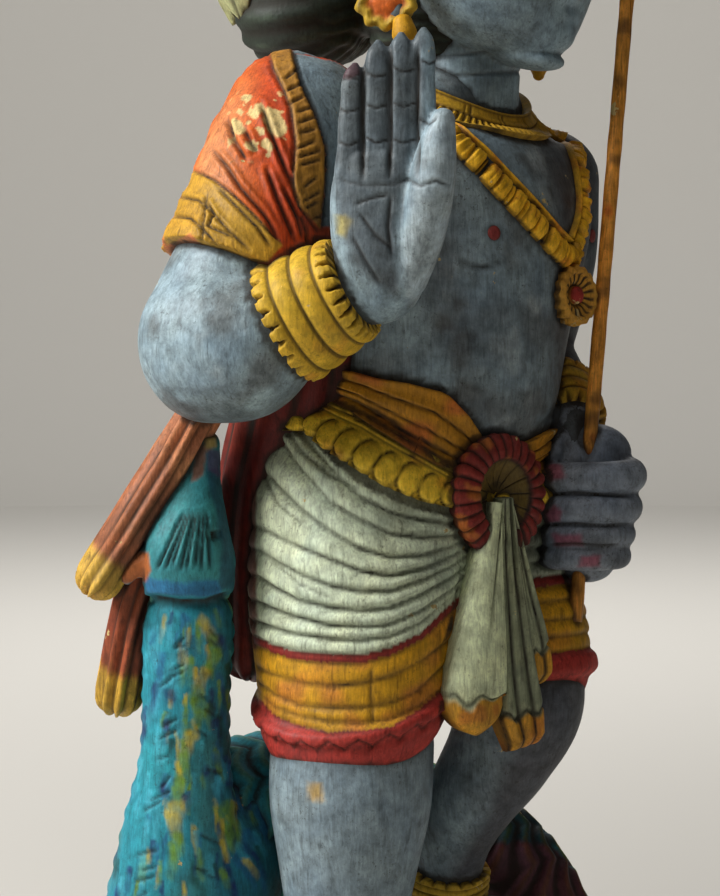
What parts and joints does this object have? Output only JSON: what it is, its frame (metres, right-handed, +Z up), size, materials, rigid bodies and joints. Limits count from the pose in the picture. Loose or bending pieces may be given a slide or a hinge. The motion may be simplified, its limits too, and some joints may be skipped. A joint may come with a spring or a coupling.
{
  "type": "murugan figure",
  "caption": "Carved and painted wooden Murugan standing on a low base, right palm raised, with a loose spear in the left fist and a peacock behind.",
  "frame": {"origin": "middle of the base's underside", "axes": "+Z up, the figure faces -Y, and its own left is +X"},
  "size_m": [0.2606, 0.1961, 0.6404],
  "materials": {
    "painted_wood": "matt worn paint over carved wood",
    "spear_wood": "worn golden paint over a wooden rod"
  },
  "bodies": {
    "root": {"murugan_figure": "painted_wood", "spear": "spear_wood"}
  },
  "joints": []
}
